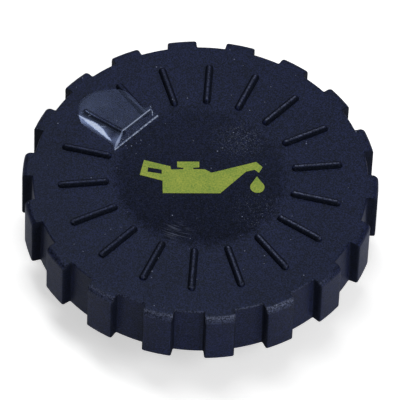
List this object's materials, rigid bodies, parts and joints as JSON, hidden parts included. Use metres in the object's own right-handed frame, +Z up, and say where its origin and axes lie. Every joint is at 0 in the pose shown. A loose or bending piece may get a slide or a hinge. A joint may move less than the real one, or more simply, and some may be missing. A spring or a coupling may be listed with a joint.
{
  "type": "oil filler cap",
  "caption": "Round moulded oil filler cap with castellated grip skirt, radial top ribs, printed oil can symbol, bayonet neck and seal ring.",
  "frame": {"origin": "centre of the foot of the neck, the plane that the cap stands on", "axes": "+Z up along the axis of the cap towards its top face, +Y towards one of the top ribs, +X to the right as the symbol is read"},
  "size_m": [0.08, 0.0796, 0.0231],
  "materials": {
    "moulded_plastic": "fine spark-eroded moulded texture, satin matte, blue-black",
    "seal_rubber": "black moulded nitrile rubber, dull",
    "print_ink": "yellow-green pad print, matte",
    "clear_film": "thin clear glossy adhesive film"
  },
  "bodies": {
    "root": {"cap_body": "moulded_plastic", "seal_ring": "seal_rubber", "oil_can_print": "print_ink", "clear_film": "clear_film"}
  },
  "joints": []
}
